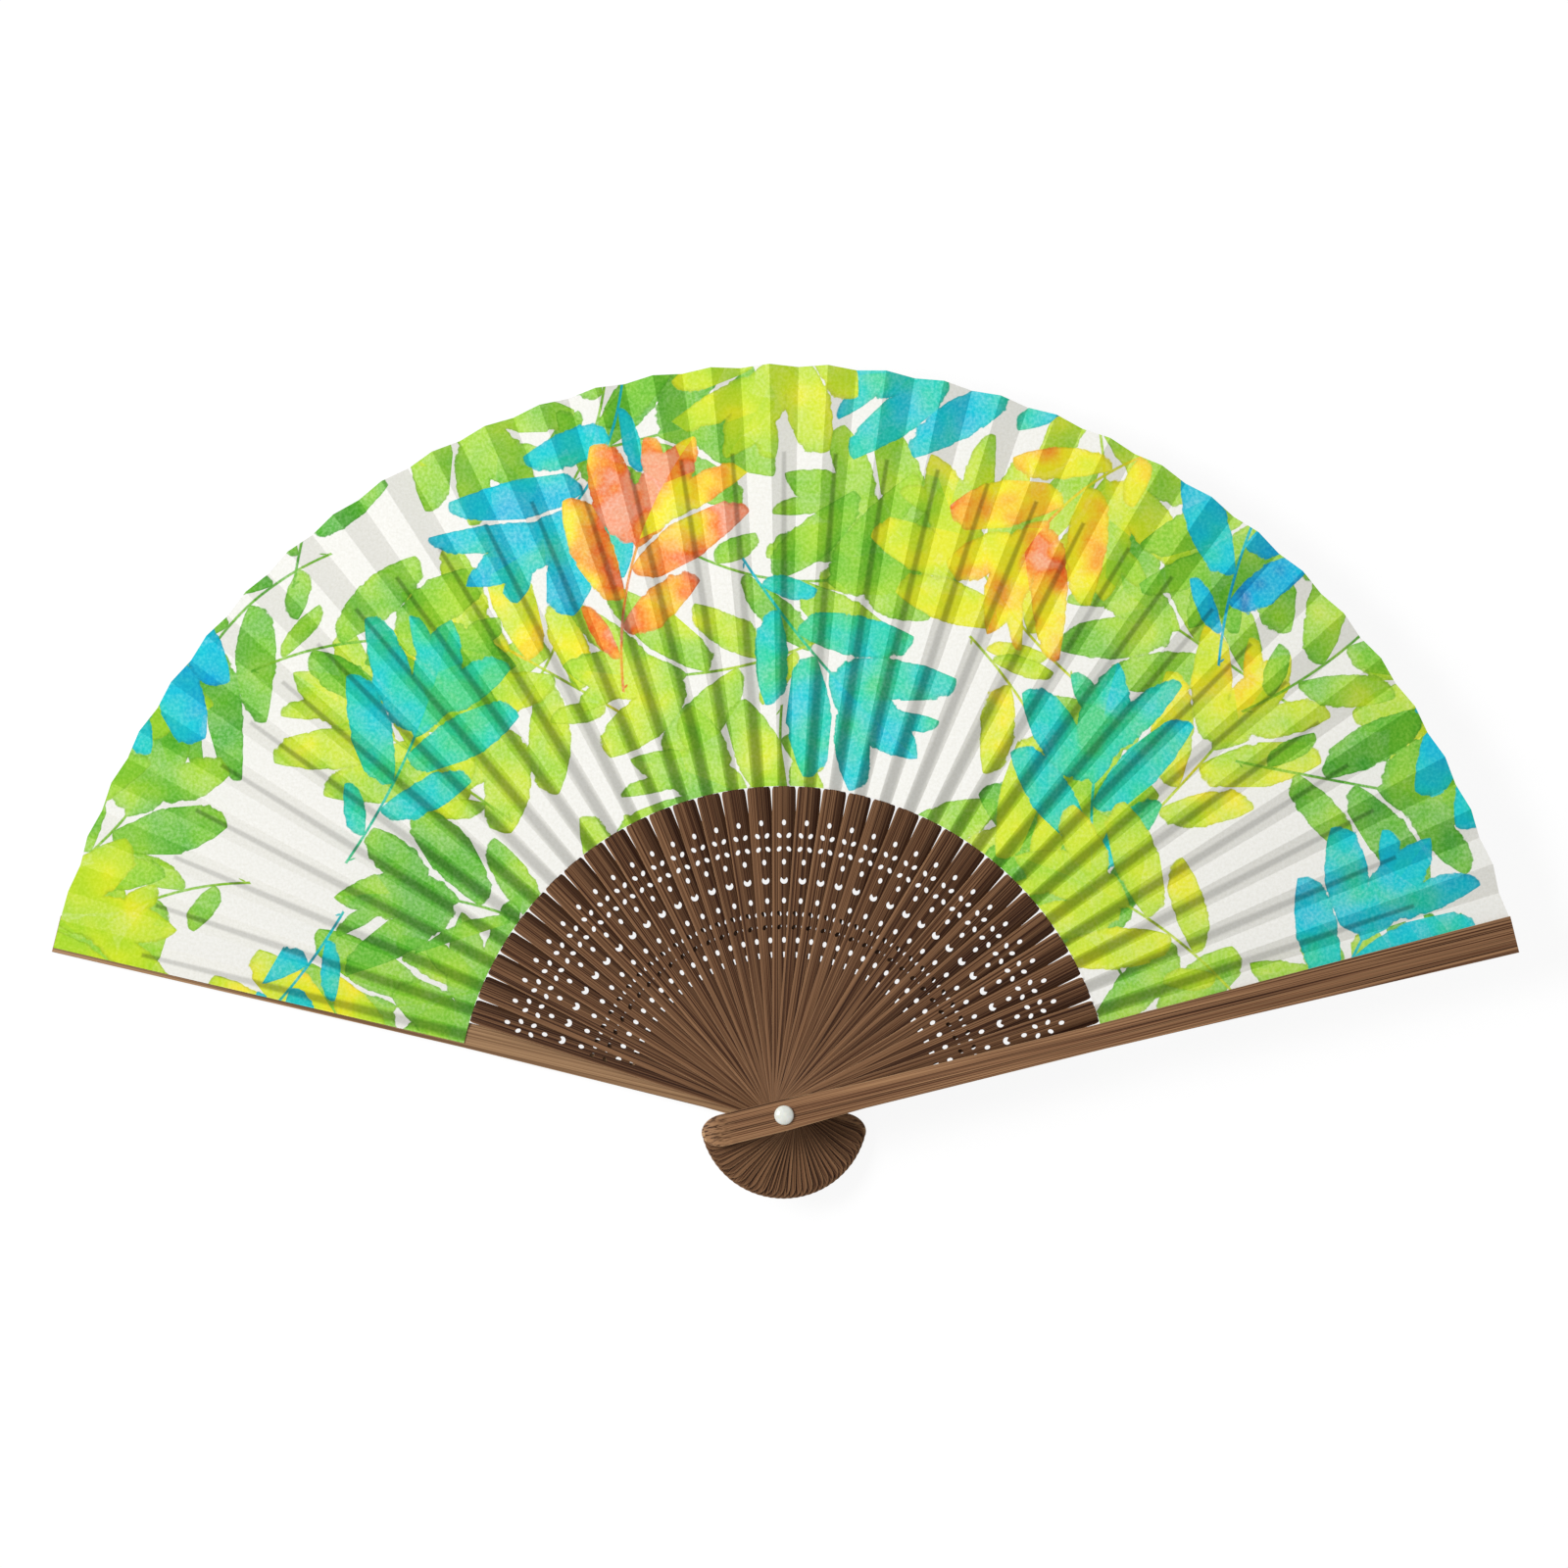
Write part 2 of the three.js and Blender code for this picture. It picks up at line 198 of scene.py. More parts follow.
def bamboo(name, dark, middle, light, line_width, roughness, finish_edges=None):
    material = new_material(name)
    tree = material.node_tree
    fibre = stretched_noise(tree, *FIBRE)
    band = stretched_noise(tree, *BAND)
    mixed = add_node(tree, MIX, {0: BAND_SHARE, 2: fibre, 3: band})
    colour = add_node(tree, RAMP, (mixed,), stops=zip(STAIN_STOPS, (dark, middle, light)))
    for tint, (width_share, spread, strength) in ((dark, DARK_LINE), (light, PALE_LINE)):
        contour = stretched_noise(tree, LINE_LENGTH, width_share * line_width)
        contour = add_node(tree, MATH, (contour, NOISE_MIDDLE), operation="SUBTRACT")
        contour = add_node(tree, MATH, (contour,), operation="ABSOLUTE")
        faded = (contour, 0, spread, strength, 0)
        line = add_node(tree, RANGE, faded, interpolation_type=SMOOTH)
        colour = add_node(tree, MIX, {0: line, 6: colour, 7: linear(tint)}, **COLOURS)
    if finish_edges:
        colour = finish_edges(tree, colour, dark, light)
    rough = [roughness + step for step in GLOSS_STEPS]
    gloss = add_node(tree, RANGE, (fibre, *NOISE_SPAN, *rough))
    bundles = {"Height": fibre, "Strength": RELIEF_STRENGTH, "Distance": FIBRE_RELIEF}
    relief = add_node(tree, "ShaderNodeBump", bundles)
    finish = {"Base Color": colour, "Roughness": gloss, "Normal": relief}
    shader = add_node(tree, SHADER, {**finish, "IOR": 1.5, "Specular IOR Level": 0.12})
    add_node(tree, SURFACE, (shader,))
    return material


inner_bamboo = bamboo("pale inner guard bamboo", "#6e5037", "#947252", "#b18c67", 2.2 * MM, 0.45)
edge_bamboo = bamboo("scraped bamboo edge", "#6b4a30", "#a37d59", "#c6a27c", 0.9 * MM, 0.55)
print("bamboo:", [finish.name for finish in (inner_bamboo, edge_bamboo)])

# %% [markdown]
# ## From outline to piece
# A rib and a guard are both flat sticks that are the same on both sides of their middle line. So half of
# the outline is drawn as a chain of points, by extruding a single vertex, and mirrored. The grain map
# adds the height to the place across, so that fibre runs on along a stick's sides too. The finished mesh
# then becomes an object that stays at the origin, with its place in its mesh, smooth where it curves and
# sharp where it has an edge. On the way there rib and guard share four steps: cuts across the stick, a
# mark on the outline's edges, so that they are found again among the many that holes and cuts add,
# extruding to a thickness, and rounding the marked edges that are square. Operators can leave the faces
# in another order on each run, so they are sorted by their points at the end.

# %% Outline and piece helpers
TOUCHING = 0.001 * MM
SHARP_EDGE = math.radians(40)
SQUARE_EDGE = 1  # radian between the two faces


def draw_outline(bm, half_outline):
    vert = bm.verts.new((*half_outline[0], 0))
    for point in half_outline[1:]:
        vert = bmesh.ops.extrude_vert_indiv(bm, verts=[vert])["verts"][0]
        vert.co = (*point, 0)
    bmesh.ops.mirror(bm, geom=bm.verts[:] + bm.edges[:], axis="Y", merge_dist=TOUCHING)


def quarter_curve(middle, along, across, steps):
    turns = [math.pi / 2 * n / steps for n in range(steps + 1)]
    return [(middle[0] + along * math.cos(t), middle[1] + across * math.sin(t)) for t in turns]


def cut_across(bm, place, direction):
    everything = bm.verts[:] + bm.edges[:] + bm.faces[:]
    bmesh.ops.bisect_plane(bm, geom=everything, dist=TOUCHING, plane_co=place, plane_no=direction)


def mark_rim(bm):
    rim = bm.edges.layers.int.new("rim")
    for edge in bm.edges:
        edge[rim] = 1


def raise_faces(bm):
    raised = bmesh.ops.extrude_face_region(bm, geom=bm.faces[:])["geom"]
    return {item for item in raised if isinstance(item, bmesh.types.BMVert)}


def square_rims(bm, upper):
    rim = bm.edges.layers.int["rim"]
    level = [e for e in bm.edges if e[rim] and (e.verts[0] in upper) == (e.verts[1] in upper)]
    return [e for e in level if e.calc_face_angle(0) > SQUARE_EDGE]


def round_edges(bm, edges, width, segments):
    shape = {"offset": width, "segments": segments, "profile": 0.5, "affect": "EDGES"}
    return bmesh.ops.bevel(bm, geom=edges, material=-1, clamp_overlap=True, **shape)["faces"]


def map_grain(bm):
    grain = bm.loops.layers.uv.new("grain")
    for face in bm.faces:
        for loop in face.loops:
            x, y, z = loop.vert.co
            loop[grain].uv = (x, y + z)


def map_section(bm):
    section = bm.loops.layers.uv.new("section")
    for face in bm.faces:
        for loop in face.loops:
            loop[section].uv = loop.vert.co.xy


def sort_faces(bm):
    bm.verts.index_update()
    ordered = sorted(bm.faces, key=lambda face: [vert.index for vert in face.verts])
    for n, face in enumerate(ordered):
        face.index = n
    bm.faces.sort()


def make_piece(name, bm, materials, sharp_angle):
    sort_faces(bm)
    mesh = bpy.data.meshes.new(name)
    bm.to_mesh(mesh)
    bm.free()
    for material in materials:
        mesh.materials.append(material)
    mesh.shade_smooth()
    mesh.set_sharp_from_angle(angle=sharp_angle)
    piece = bpy.data.objects.new(name, mesh)
    bpy.context.scene.collection.objects.link(piece)
    return piece


print("a quarter of a 2 mm curve:", quarter_curve((0, 0), 2, 2, 2))

# %% [markdown]
# ## A rib's blank
# A rib is a thin strip with a round tail, a blade that widens a little, a rounded shoulder, and a narrow
# sliver that runs on inside the leaf. The outline comes first, flat, and its edges are marked as the rim.

# %% Rib outline
TAIL_LENGTH = 21.2 * MM
RIB_NECK = 5.9 * MM / 2
RIB_BLADE = 5.95 * MM / 2
BLADE_LENGTH = 82.4 * MM
TWIST_START = 10 * MM
SHOULDER_LONG = 1.3 * MM
SHOULDER_WIDE = 0.45 * MM
SLIVER_ROOT = 2.7 * MM / 2
SLIVER_TIP = 1 * MM / 2
SLIVER_END = 166.5 * MM
TAIL_STEPS = 7
SHOULDER_STEPS = 4

rib = bmesh.new()
tail_curve = quarter_curve((RIB_NECK - TAIL_LENGTH, 0), -RIB_NECK, -RIB_NECK, TAIL_STEPS)
shoulder_middle = (BLADE_LENGTH - SHOULDER_LONG, SHOULDER_WIDE - RIB_BLADE)
shoulder_curve = quarter_curve(shoulder_middle, SHOULDER_LONG, -SHOULDER_WIDE, SHOULDER_STEPS)[::-1]
sliver = [(BLADE_LENGTH, -SLIVER_ROOT), (SLIVER_END, -SLIVER_TIP), (SLIVER_END, 0)]
draw_outline(rib, [*tail_curve, (TWIST_START, -RIB_NECK), *shoulder_curve, *sliver])
mark_rim(rib)
print("rib outline:", len(rib.edges), "edges")

# %% [markdown]
# ## The ribs' stain and painted shade
# The ribs are stained darker than the guards. Where a rib goes under the next one it is given painted
# shade, stronger towards the leaf, and its rim is paler, partly as scraped wear and partly as a painted
# highlight. A rib's "section" map holds the place along and across it. From that the shader works out how
# far a point is from the rim, round the tail as well, and how far across the strip that the next rib
# leaves free. Ribs lie over each other on opposite sides before and behind the rivet.

# %% Rib stain and painted shade
# paler rim: partly scraped wear, partly a painted highlight
RIM_WEAR_AND_HIGHLIGHT = (0.15 * MM, 0.55 * MM)
RIM_WEAR_AND_HIGHLIGHT_SHARE = 0.55
RIB_STAIN = ("#261006", "#4e301d", "#8f694a")  # dark, middle and light
# painted shade where the next rib lies over this one: its strength at the tail and at the leaf
PAINTED_SHADE_SHARE = (0.2, 0.85)
PAINTED_SHADE_SPAN = (0.3, 1)


def rib_rim_and_shade(tree, colour, dark, light):
    section = add_node(tree, "ShaderNodeUVMap", uv_map="section")
    x = add_node(tree, "ShaderNodeSeparateXYZ", (section,))
    y = x.node.outputs["Y"]
    past_end = add_node(tree, MATH, (x, TAIL_LENGTH - RIB_NECK), operation="ADD")
    past_end = add_node(tree, MATH, (past_end, 0), operation="MINIMUM")
    from_axis = add_node(tree, "ShaderNodeCombineXYZ", (past_end, y))
    from_axis = add_node(tree, "ShaderNodeVectorMath", (from_axis,), output="Value", operation="LENGTH")
    from_rim = add_node(tree, MATH, (RIB_NECK, from_axis), operation="SUBTRACT")
    # paler near the rim, round the tail too: partly scraped wear, partly a painted highlight
    wear_and_highlight_fade = (from_rim, *RIM_WEAR_AND_HIGHLIGHT, RIM_WEAR_AND_HIGHLIGHT_SHARE, 0)
    wear_and_highlight = add_node(tree, RANGE, wear_and_highlight_fade, interpolation_type=SMOOTH)
    colour = add_node(tree, MIX, {0: wear_and_highlight, 6: colour, 7: linear(light)}, **COLOURS)

    # painted shade across the strip that the next rib leaves free, deeper towards the leaf
    side = add_node(tree, MATH, (x,), operation="SIGN")
    along = add_node(tree, MATH, (x,), operation="ABSOLUTE")
    towards = add_node(tree, MATH, (y, side), operation="MULTIPLY")
    across = add_node(tree, MATH, (RIB_NECK, towards), operation="SUBTRACT")
    free = add_node(tree, MATH, (along, math.sin(STICK_PITCH)), operation="MULTIPLY")
    share = add_node(tree, MATH, (across, free), operation="DIVIDE")
    depth = add_node(tree, RANGE, (along, TAIL_LENGTH, BLADE_LENGTH, *PAINTED_SHADE_SHARE))
    painted_shade = add_node(tree, RANGE, (share, *PAINTED_SHADE_SPAN, 0, depth), interpolation_type=SMOOTH)
    return add_node(tree, MIX, {0: painted_shade, 6: colour, 7: linear(dark)}, **COLOURS)


rib_bamboo = bamboo("split bamboo with stain and painted shade", *RIB_STAIN, 1.0 * MM, 0.5, rib_rim_and_shade)
print("rib stain:", len(rib_bamboo.node_tree.nodes), "nodes")

# %% [markdown]
# ## Punching the blade
# A whole packet of blades is punched at once: a flower of six rice-grain holes, a crescent, a second
# flower and a last dot. Each hole is a circle that a matrix stretches and turns. For the crescent, the
# points on its outer side are pushed back through their own chord, which leaves a bite. Filling outline
# and holes together leaves the holes open, and that is simpler than cutting them with a boolean.

# %% Holes and filled face
FLOWER_SETBACK = 14 * MM
FLOWER_TO_CRESCENT = 9.5 * MM
CRESCENT_TO_FLOWER = 10.1 * MM
FLOWER_TO_DOT = 8.6 * MM
PETAL_REACH = 4.95 * MM
PAIR_REACH = 1.7 * MM
PAIR_SPREAD = 1.2 * MM
PETAL_LENGTH = 1.42 * MM
PETAL_WIDTH = 1 * MM
CRESCENT_RADIUS = 0.95 * MM
CRESCENT_CHORD = 0.79 * CRESCENT_RADIUS
BITE_DEPTH = 3.5
PIN_HOLE_RADIUS = 1.28 * MM
HOLE_SIDES = 16


def punch(bm, x, y, long_radius, short_radius, turn=0):
    size = Matrix.Diagonal((long_radius, short_radius, 1, 1))
    place = Matrix.Translation((x, y, 0)) @ Matrix.Rotation(turn, 4, "Z") @ size
    return bmesh.ops.create_circle(bm, segments=HOLE_SIDES, radius=1, matrix=place)["verts"]


outer_flower = BLADE_LENGTH - FLOWER_SETBACK
crescent = outer_flower - FLOWER_TO_CRESCENT
inner_flower = crescent - CRESCENT_TO_FLOWER
petals = [(inner_flower - FLOWER_TO_DOT, 0, 0)]
for flower in (inner_flower, outer_flower):
    petals += [(flower + end * PETAL_REACH, 0, 0) for end in (-1, 1)]
    for end, side in ((-1, -1), (-1, 1), (1, -1), (1, 1)):
        turn = math.atan2(side * PAIR_SPREAD, end * PAIR_REACH)
        petals.append((flower + end * PAIR_REACH, side * PAIR_SPREAD, turn))
for x, y, turn in petals:
    punch(rib, x, y, PETAL_LENGTH / 2, PETAL_WIDTH / 2, turn)
for vert in punch(rib, crescent, 0, CRESCENT_RADIUS, CRESCENT_RADIUS):
    past_chord = vert.co.x - crescent - CRESCENT_CHORD
    if past_chord > 0:
        vert.co.x -= (1 + BITE_DEPTH) * past_chord
punch(rib, 0, 0, PIN_HOLE_RADIUS, PIN_HOLE_RADIUS)
bmesh.ops.triangle_fill(rib, use_beauty=True, edges=rib.edges[:])
print("punched face:", len(rib.faces), "triangles,", len(petals) + 2, "holes")

# %% [markdown]
# ## Thickness, edges and twist
# A rib lies flat at the rivet and leans like its pleat at the leaf, so its blade is twisted, and its
# upper face is slightly crowned. Cuts across and along the blade give the twist and the crown something
# to bend. The strip is then extruded to its thickness, its rim is rounded as the real ones are by
# tumbling, and each point is lowered by the crown and sheared by the slope at its place. The sliver is
# shaved thinner, because it lies between two sheets.

# %% Rib solid
RIB_THICKNESS = 0.4 * MM
SLIVER_THICKNESS = 0.16 * MM
RIB_ROUNDING = 0.17 * MM
ROUNDING_STEPS = 2
TWIST_CUTS = 9
CROWN_CUTS = 5
CROWN = 0.5
PLEAT_SLOPE = math.tan(math.radians(13.5))


def blade_slope(x):
    return PLEAT_SLOPE * min(max((x - TWIST_START) / (BLADE_LENGTH - TWIST_START), 0), 1)


twist_length = BLADE_LENGTH - SHOULDER_LONG - TWIST_START
for n in range(TWIST_CUTS + 1):
    cut_across(rib, (TWIST_START + twist_length * n / TWIST_CUTS, 0, 0), (1, 0, 0))
for n in range(CROWN_CUTS):
    across = 2 * (n + 1) / (CROWN_CUTS + 1) - 1
    cut_across(rib, (0, across * RIB_NECK, 0), (0, 1, 0))
upper = raise_faces(rib)
for vert in rib.verts:
    on_sliver = vert.co.x > BLADE_LENGTH - TOUCHING
    thickness = SLIVER_THICKNESS if on_sliver else RIB_THICKNESS
    vert.co.z = thickness / 2 if vert in upper else -thickness / 2
bmesh.ops.recalc_face_normals(rib, faces=rib.faces[:])
blade_rims = [e for e in square_rims(rib, upper) if max(v.co.x for v in e.verts) < BLADE_LENGTH]
for face in round_edges(rib, blade_rims, RIB_ROUNDING, ROUNDING_STEPS):
    face.material_index = 1
map_grain(rib)
map_section(rib)
for vert in rib.verts:
    if vert.co.z > 0:
        vert.co.z *= 1 - CROWN * (vert.co.y / RIB_BLADE) ** 2
    vert.co.z += vert.co.y * blade_slope(vert.co.x)
print("rib:", len(rib.faces), "faces, volume", round(rib.calc_volume() / MM**3, 1), "mm3")

# %% [markdown]
# ## Thirty-three ribs
# All ribs come from one punch, so one mesh is copied to every stick. Only the bamboo differs: each copy's
# grain map is shifted to another stretch of culm. A rib rides on its own body and stands for its CAD
# node.

# %% Place the ribs
GRAIN_STEP = Vector((0.737, 0.0291))


def copy_to_stick(source, place, grain_shift):
    copy = source.copy()
    layer = copy.loops.layers.uv["grain"]
    for face in copy.faces:
        for loop in face.loops:
            loop[layer].uv += grain_shift
    copy.transform(place)
    return copy


for stick, node in enumerate(rib_nodes, 1):
    copy = copy_to_stick(rib, stick_place(stick, rib_height(stick)), stick * GRAIN_STEP)
    piece = make_piece(f"bamboo_{node}", copy, [rib_bamboo, edge_bamboo], SHARP_EDGE)
    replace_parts(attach(piece, stick_body(stick)), node)
print("ribs placed:", stick)

# %% [markdown]
# ## The guards' lacquer
# The guards are paler than the ribs and lacquered. Their round tail end was rasped to shape across the
# fibre, which left it frayed: short pale and dark dashes that fade out a few millimetres from the end.
# The dashes are the same stretched noise as the fibre, only short, and the "section" map says how far
# from the end a point is.

# %% Guard lacquer
GUARD_STAIN = ("#2d1609", "#704b33", "#a77e5a")
FRAYED_END = (3 * MM, 9 * MM)
FRAYED_SHARE = 0.8
DASH = (2.4 * MM, 0.45 * MM)
DASH_STOPS = (0.36, 0.56)


def frayed_end(tree, colour, dark, light):
    section = add_node(tree, "ShaderNodeUVMap", uv_map="section")
    x = add_node(tree, "ShaderNodeSeparateXYZ", (section,))
    from_end = add_node(tree, MATH, (x, TAIL_LENGTH), operation="ADD")
    frayed = add_node(tree, RANGE, (from_end, *FRAYED_END, FRAYED_SHARE, 0))
    dashes = stretched_noise(tree, *DASH)
    dashes = add_node(tree, RAMP, (dashes,), stops=zip(DASH_STOPS, (dark, light)))
    return add_node(tree, MIX, {0: frayed, 6: colour, 7: dashes}, **COLOURS)


guard_bamboo = bamboo("lacquered guard bamboo", *GUARD_STAIN, 1.1 * MM, 0.42, frayed_end)
print("guard lacquer:", len(guard_bamboo.node_tree.nodes), "nodes")

# %% [markdown]
# ## Guards
# The two guards are thick outer sticks with a rounded head round the rivet, a slim waist and a wide,
# square tip. Their outer face is flat and their inner face falls away towards the tip, which leaves room
# for the leaning blades. One guard is drawn outer face down, given its thickness, and its long edges are
# rounded with a wide bevel, as a sanded stick has them. A few cuts near the tail let the outer face roll
# over to the end, where the sanding shows paler bamboo. Beyond the rivet the inner face is paler.
# The front guard is the same stick turned over.

# %% Guards
GUARD_HEAD_HALF = 7.9 * MM / 2
GUARD_HALF = 6.4 * MM / 2
GUARD_TIP_HALF = 9.4 * MM / 2
GUARD_TAIL_ROUND = 5.4 * MM
GUARD_WAIST = 20 * MM
GUARD_LENGTH = 188.7 * MM
GUARD_TIP_THICKNESS = 1.2 * MM
GUARD_ROUNDING = 0.5 * MM
GUARD_ROUNDING_STEPS = 4
GUARD_TAIL_STEPS = 9
LEVEL = 0.9  # least height of the normal of a level face
ROLL_LENGTH = 4 * MM
ROLL_DEPTH = 0.9 * MM
ROLL_CUTS = 6
PALE_END = 0.8 * MM
LEAF_INNER = 82.5 * MM

back_low, back_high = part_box("guard_back")
front_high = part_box("guard_front")[1]
GUARD_TAIL_THICKNESS = back_high.z - back_low.z
GUARD_FALL = (GUARD_TAIL_THICKNESS - GUARD_TIP_THICKNESS) / (GUARD_LENGTH + TAIL_LENGTH)


def guard_thickness(x):
    return GUARD_TAIL_THICKNESS - GUARD_FALL * (x + TAIL_LENGTH)


guard = bmesh.new()
tail_middle = (GUARD_TAIL_ROUND - TAIL_LENGTH, 0)
guard_tail = quarter_curve(tail_middle, -GUARD_TAIL_ROUND, -GUARD_HEAD_HALF, GUARD_TAIL_STEPS)
guard_waist = [(0, -GUARD_HEAD_HALF), (GUARD_WAIST, -GUARD_HALF), (LEAF_INNER, -GUARD_HALF)]
guard_tip = [(GUARD_LENGTH, -GUARD_TIP_HALF), (GUARD_LENGTH, 0)]
draw_outline(guard, [*guard_tail, *guard_waist, *guard_tip])
mark_rim(guard)
punch(guard, 0, 0, PIN_HOLE_RADIUS, PIN_HOLE_RADIUS)
bmesh.ops.triangle_fill(guard, use_beauty=True, edges=guard.edges[:])
for n in range(ROLL_CUTS):
    cut_across(guard, (ROLL_LENGTH * (n + 1) / ROLL_CUTS - TAIL_LENGTH, 0, 0), (1, 0, 0))
upper = raise_faces(guard)
for vert in upper:
    vert.co.z = guard_thickness(vert.co.x)
bmesh.ops.recalc_face_normals(guard, faces=guard.faces[:])
rounded = set(round_edges(guard, square_rims(guard, upper), GUARD_ROUNDING, GUARD_ROUNDING_STEPS))
for face in guard.faces:
    x = face.calc_center_median().x
    if face in rounded or x < PALE_END - TAIL_LENGTH:
        face.material_index = 1
    elif face.normal.z > LEVEL and x > 0:
        face.material_index = 2
map_grain(guard)
map_section(guard)
for vert in guard.verts:
    rolled = 1 - (vert.co.x + TAIL_LENGTH) / ROLL_LENGTH
    if rolled > 0:
        height = vert.co.z / guard_thickness(vert.co.x)
        vert.co.z += ROLL_DEPTH * rolled**2 * (1 - height)

turned_over = Matrix.Rotation(math.pi, 4, "X")
guard_places = {
    0: stick_place(0, back_low.z),
    FRONT_STICK: stick_place(FRONT_STICK, front_high.z) @ turned_over,
}
for stick, place in guard_places.items():
    node = stick_nodes[stick]
    copy = copy_to_stick(guard, place, stick * GRAIN_STEP)
    piece = make_piece(f"bamboo_{node}", copy, [guard_bamboo, edge_bamboo, inner_bamboo], SHARP_EDGE)
    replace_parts(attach(piece, stick_body(stick)), node)
ends = (GUARD_TAIL_THICKNESS, guard_thickness(GUARD_LENGTH))
print("guard thickness at tail and tip:", [round(thickness / MM, 2) for thickness in ends])

# %% [markdown]
# ## Rivet
# The rivet is a turned plastic pin, cream white and polished. Its front head is a low dome and its back
# head is flat with a small chamfer. A turned form is a profile swept round an axis, so half of its
# section is drawn as a chain of points and spun. The plastic is slightly milky, with a sharp highlight,
# which comes from a low roughness.

# %% Rivet
HEAD_RADIUS = 2.45 * MM
PIN_RADIUS = 1.2 * MM
DOME_LIP = 0.35 * MM
BACK_HEAD_HEIGHT = 0.9 * MM
BACK_HEAD_EDGE = 0.3 * MM
RIVET_PLAY = 0.1 * MM
RIVET_STEPS = 48
DOME_STEPS = 8
MILK_CLOUD = 1.5 * MM
MILK = [(0.35, "#e6e4d8"), (0.65, "#f1efe5")]
POLISH = (0.16, 0.24)

rivet_low, rivet_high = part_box("rivet")
neck = front_high.z + RIVET_PLAY
dome_rise = rivet_high.z - neck - DOME_LIP
dome = quarter_curve((0, neck + DOME_LIP), HEAD_RADIUS, dome_rise, DOME_STEPS)
chamfer = [(HEAD_RADIUS - BACK_HEAD_EDGE, 0), (HEAD_RADIUS, BACK_HEAD_EDGE)]
pin = [(PIN_RADIUS, BACK_HEAD_HEIGHT), (PIN_RADIUS, neck)]
profile = [*chamfer, (HEAD_RADIUS, BACK_HEAD_HEIGHT), *pin, (HEAD_RADIUS, neck), *dome]
rivet = bmesh.new()
vert = rivet.verts.new((0, 0, 0))
for radius, height in profile:
    vert = bmesh.ops.extrude_vert_indiv(rivet, verts=[vert])["verts"][0]
    vert.co = (radius, 0, height)
turn = {"axis": (0, 0, 1), "cent": (0, 0, 0), "angle": 2 * math.pi, "steps": RIVET_STEPS}
bmesh.ops.spin(rivet, geom=rivet.verts[:] + rivet.edges[:], use_merge=True, **turn)
bmesh.ops.remove_doubles(rivet, verts=rivet.verts[:], dist=TOUCHING)
bmesh.ops.recalc_face_normals(rivet, faces=rivet.faces[:])

rivet_plastic = new_material("polished cellulose plastic")
tree = rivet_plastic.node_tree
place = add_node(tree, "ShaderNodeTexCoord", output="Object")
cloud = add_node(tree, NOISE, {"Vector": place, "Scale": 1 / MILK_CLOUD, "Detail": 2})
milk = add_node(tree, RAMP, (cloud,), stops=MILK)
polish = add_node(tree, RANGE, (cloud, *NOISE_SPAN, *POLISH))
finish = {"Base Color": milk, "Roughness": polish, "IOR": 1.5, "Subsurface Weight": 0.1}
shader = add_node(tree, SHADER, finish)
add_node(tree, SURFACE, (shader,))
piece = make_piece("turned_rivet", rivet, [rivet_plastic], SHARP_EDGE)
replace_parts(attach(piece, stick_body(0)), "rivet")
print("rivet height:", round((rivet_high.z - rivet_low.z) / MM, 2), "mm")

# %% [markdown]
# ## The print's motif
# The leaf carries a loose watercolour of leafy sprays: greens and yellow-greens, with turquoise, blue,
# orange and pink among them. Painting one picture would tie the pattern to one size, so a node group
# draws a spray instead. A Voronoi texture with little randomness deals out cells, each with a middle and
# three chance numbers. Inside a cell the plan is turned by chance and bent, and a formula gives the
# distance to pairs of pointed leaflets along a stem: leaning the plan makes every leaflet of one side run
# the same way, and rounding gives its number. Noise frays the outline as wet paint does. The group hands
# back where paint is, how near its rim, and its tone.

# %% Spray node group
# Lengths are in millimetres here, as the group counts them inside a cell.
SPRAY_CELL = 76
CELL_JITTER = 0.1
STEM_REACH = 31
STEM_HALF = 0.5
LEAFLET_STEP = 15
LEAFLET_LENGTH = 31
LEAFLET_HALF = 6.4
LEAFLET_LEAN = math.radians(48)
TIP_START = 5
STEM_BEND = 0.009
FRAY = 1.4
FRAY_SIZE = 3
WET_SIZE = 15
BELLY_POWER = 0.8
SOFT_EDGE = 0.3
DRIED_RIM = (0.1, 1.1)
WET_SPAN = (0.2, 0.8)
WET_RUN = 0.3
OWN_TONE = 0.25


def pointed_belly(tree, reach):
    # four times a share times its rest is 1 in the middle and 0 at both ends
    rest = add_node(tree, MATH, (1, reach), operation="SUBTRACT")
    belly = add_node(tree, MATH, (rest, reach), operation="MULTIPLY")
    belly = add_node(tree, MATH, (belly, 4), operation="MULTIPLY", use_clamp=True)
    return add_node(tree, MATH, (belly, BELLY_POWER), operation="POWER")


